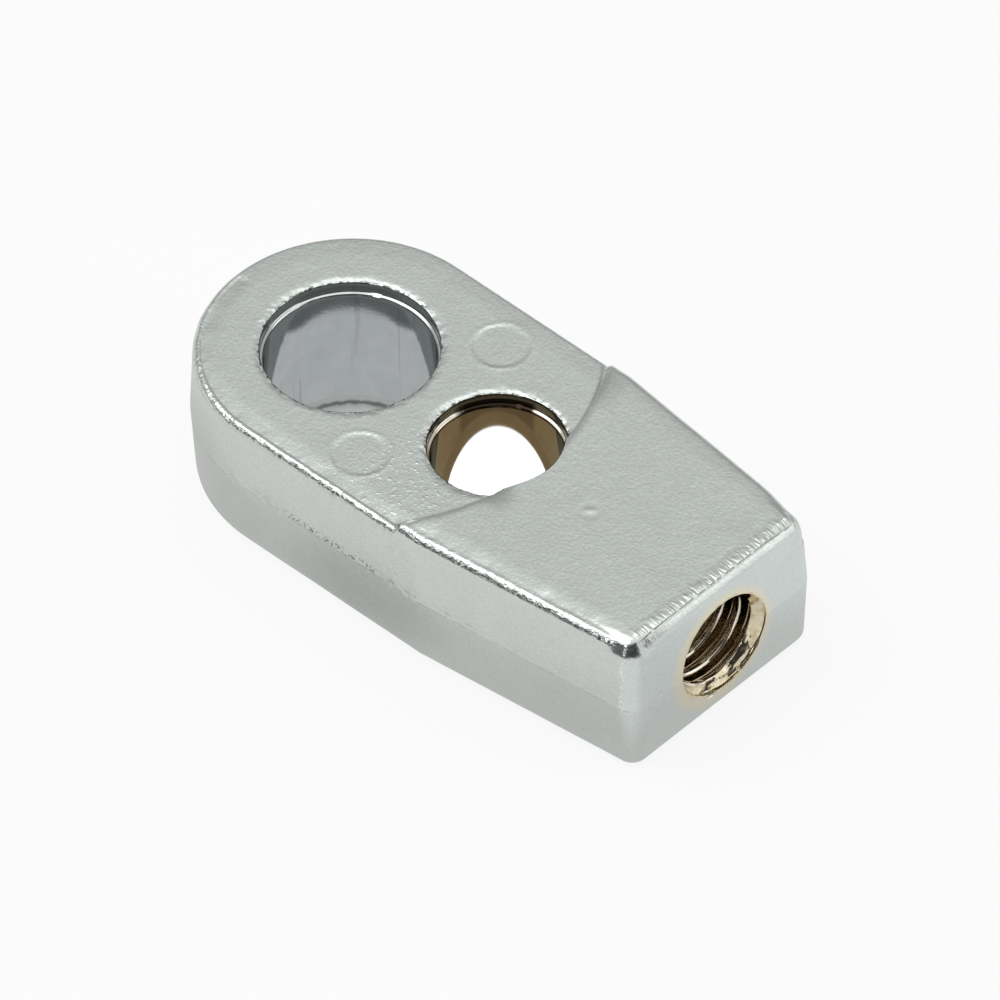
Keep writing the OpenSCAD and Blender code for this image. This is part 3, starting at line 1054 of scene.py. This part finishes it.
# Down each bore it meets the lit spot on the card or the shade round it, and
# darker card after each further bounce between the walls.
PIN_DARK, PIN_LIT = (0.105, 0.112, 0.115, 1), (0.43, 0.44, 0.45, 1)
PIN_TWICE, PIN_THRICE = (0.185, 0.197, 0.20, 1), (0.115, 0.12, 0.125, 1)
LINK_DARK, LINK_LIT = (0.195, 0.170, 0.125, 1), (1.55, 1.95, 2.95, 1)
LINK_TWICE, LINK_THRICE = (0.31, 0.34, 0.38, 1), (0.15, 0.21, 0.32, 1)
toward = tx * -FAR_X - ty * FAR_Y
across = tx * FAR_Y - ty * FAR_X
past_spot = (toward + 0.95).most(0) + (toward + 2.6).least(0)
lit_pin = ease(reach_from(past_spot, across), 2.98, 2.66)
lit_link = ease(reach_from(tx - LINK_X + 0.08, ty - 0.08), 2.50, 2.42)
pin_card = blend(twice, blend(lit_pin, PIN_DARK, PIN_LIT), PIN_TWICE)
pin_card = blend(thrice, pin_card, PIN_THRICE)
link_card = blend(twice, blend(lit_link, LINK_DARK, LINK_LIT), LINK_TWICE)
link_card = blend(thrice, link_card, LINK_THRICE)
mirror_tone = blend(under_pin, link_card, pin_card)
mirror_tone = blend(1 - in_hole, mirror_tone, card_tone)

# Straight down the pin bore the card shows the wall's shade as a painted crescent, with a ragged
# dark line of painted shade by the wall's foot.
SHADE_INNER, SHADE_OUTER = (0.42, 0.435, 0.425, 1), (0.335, 0.355, 0.345, 1)
CARD_PALE, FOOT_DARK = (0.96, 0.96, 0.96, 1), (0.085, 0.092, 0.090, 1)
WHITE = (1, 1, 1, 1)
FOOT_R = 3.93
ragged_r = from_pin_axis + 0.35 * speckle(in_card, 2.2) - 0.17
crescent = blend(ease(ragged_r, 3.35, 3.75), SHADE_INNER, SHADE_OUTER)
crescent = blend(ease(from_pin_axis, 2.0, 3.2), CARD_PALE, crescent)
# Painted shade: the dark line by the wall's foot.
foot_line = ease(abs(ragged_r - FOOT_R), 0.24, 0.03) * ease(abs(across), 2.1, 1.6)
crescent = blend(foot_line * 0.85, crescent, FOOT_DARK)
direct_tone = blend(under_pin, WHITE, crescent)

PAPER = (0.80, 0.80, 0.80, 1)
paper = make.node("ShaderNodeBsdfDiffuse", None, {"Color": PAPER})
glow_tone = blend(mirrored, direct_tone, mirror_tone)
glow = make.node("ShaderNodeEmission", None, {"Color": glow_tone, "Strength": 1.0})
glow_share = (seen + through) * (0.88 + 0.12 * in_hole) + mirrored
mixed = make.node("ShaderNodeMixShader", None, {"Fac": glow_share, 1: paper, 2: glow})
make.node("ShaderNodeOutputMaterial", None, {"Surface": mixed})
table_mesh.materials.append(card)


# The studio's room: a pale backdrop behind the part that brightens towards the
# ceiling, and a dim side behind the camera, which the near edge's dark line
# and the near corner's dark spot reflect.
WALL_LOW, WALL_HIGH = (0.40, 0.405, 0.40, 1), (0.78, 0.79, 0.78, 1)
DIM_HIGH, DIM_LOW = (0.035, 0.035, 0.036, 1), (0.13, 0.13, 0.132, 1)
room = bpy.data.worlds.new("room")
scene.world = room
make = blank(room)
wx, wy, wz = apart(make.node("ShaderNodeTexCoord", output="Generated"))
dim = ease(wx * 0.70 - wy * 0.715, -0.05, 0.30) * ease(wz, 0.86, 0.66)
far_wall = blend(ease(wz, 0.34, 0.92), WALL_LOW, WALL_HIGH)
dim_side = blend(ease(wz, 0.34, 0.06), DIM_HIGH, DIM_LOW)
wall = blend(dim, far_wall, dim_side)
light = make.node("ShaderNodeBackground", None, {"Color": wall, "Strength": 1.0})
make.node("ShaderNodeOutputWorld", None, {"Surface": light})


def soft_lamp(name, heading, distance, width, height, radiance):
    """A rectangular lamp that faces the part. Its power is its radiance times
    its area times pi."""
    lamp = bpy.data.lights.new(name, "AREA")
    lamp.shape, lamp.size, lamp.size_y = "RECTANGLE", width, height
    lamp.energy = radiance * width * height * math.pi
    holder = bpy.data.objects.new(name, lamp)
    spot = Vector(heading).normalized()
    facing_part = spot.to_track_quat("Z", "Y").to_matrix().to_4x4()
    holder.matrix_world = Matrix.Translation(spot * distance) @ facing_part
    scene.collection.objects.link(holder)


soft_lamp("left_softbox", (-0.42, -0.41, 0.84), 0.8, 0.70, 0.70, 1.5)
soft_lamp("right_softbox", (0.76, 0.52, 0.42), 0.8, 0.62, 0.66, 0.90)
soft_lamp("top_softbox", (0.02, 0.10, 1.0), 0.9, 0.74, 0.74, 0.55)
soft_lamp("small_lamp", (0.162, -0.833, 0.53), 0.8, 0.10, 0.16, 8.0)

# The camera, at the photo's viewing angle and distance.
CAMERA_AT = (877.64, -891.13, 1272.69)
CAMERA_RIGHT, CAMERA_UP = (0.72769, 0.68572, -0.01591), (-0.4825, 0.52824, 0.69868)
CAMERA_BACK = (0.4875, -0.50075, 0.71526)
camera = bpy.data.objects.new("camera", bpy.data.cameras.new("camera"))
axes = zip(CAMERA_RIGHT, CAMERA_UP, CAMERA_BACK, CAMERA_AT)
rows = [(right, up, back, at_mm * MM) for right, up, back, at_mm in axes]
camera.matrix_world = Matrix([*rows, (0, 0, 0, 1)])
camera.data.sensor_width = 36
camera.data.lens = 1300.5
scene.collection.objects.link(camera)
scene.camera = camera

low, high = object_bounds()
